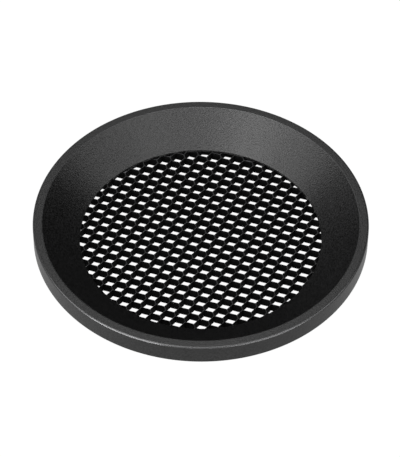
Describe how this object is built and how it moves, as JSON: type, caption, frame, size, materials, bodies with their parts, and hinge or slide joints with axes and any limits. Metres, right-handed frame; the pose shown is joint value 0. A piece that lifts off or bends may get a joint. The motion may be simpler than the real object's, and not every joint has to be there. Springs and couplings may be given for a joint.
{
  "type": "honeycomb grid",
  "caption": "Round honeycomb grid for a flash head: a shallow conical frame holds a disc of corrugated black foil that narrows the beam, on a spigot with a magnetic seat.",
  "frame": {"origin": "centre of the spigot's foot, the plane that the grid stands on", "axes": "+Z along the beam's axis, from the flash head out through the mouth; +X across the view, with the foil ribbons' pitch direction 15.7 degrees anticlockwise from it"},
  "size_m": [0.127, 0.127, 0.0164],
  "materials": {
    "frame_coat": "die-cast aluminium under a fine-grained satin black powder coat",
    "foil": "thin foil, dipped matt black, with paler worn edges",
    "ring_wire": "round spring wire, phosphated grey",
    "carrier_plastic": "moulded black nylon, spark-eroded texture",
    "magnet_plating": "nickel plated",
    "screw_steel": "black oxide"
  },
  "bodies": {
    "root": {"frame": "frame_coat", "spigot_ring": "frame_coat", "foil_ribbon_01": "foil", "foil_ribbon_02": "foil", "foil_ribbon_03": "foil", "foil_ribbon_04": "foil", "foil_ribbon_05": "foil", "foil_ribbon_06": "foil", "foil_ribbon_07": "foil", "foil_ribbon_08": "foil", "foil_ribbon_09": "foil", "foil_ribbon_10": "foil", "foil_ribbon_11": "foil", "foil_ribbon_12": "foil", "foil_ribbon_13": "foil", "foil_ribbon_14": "foil", "foil_ribbon_15": "foil", "foil_ribbon_16": "foil", "foil_ribbon_17": "foil", "foil_ribbon_18": "foil", "foil_ribbon_19": "foil", "foil_ribbon_20": "foil", "foil_ribbon_21": "foil", "foil_ribbon_22": "foil", "foil_ribbon_23": "foil", "foil_ribbon_24": "foil", "foil_ribbon_25": "foil", "foil_ribbon_26": "foil", "foil_ribbon_27": "foil", "foil_ribbon_28": "foil", "foil_ribbon_29": "foil", "foil_ribbon_30": "foil", "foil_ribbon_31": "foil", "foil_ribbon_32": "foil", "foil_ribbon_33": "foil", "foil_ribbon_34": "foil", "foil_ribbon_35": "foil", "foil_ribbon_36": "foil", "snap_ring": "ring_wire", "magnet_carrier": "carrier_plastic", "magnet_01": "magnet_plating", "magnet_02": "magnet_plating", "magnet_03": "magnet_plating", "magnet_04": "magnet_plating", "magnet_05": "magnet_plating", "magnet_06": "magnet_plating", "magnet_07": "magnet_plating", "magnet_08": "magnet_plating", "carrier_screw_01": "screw_steel", "carrier_screw_02": "screw_steel", "carrier_screw_03": "screw_steel", "carrier_screw_04": "screw_steel"}
  },
  "joints": []
}
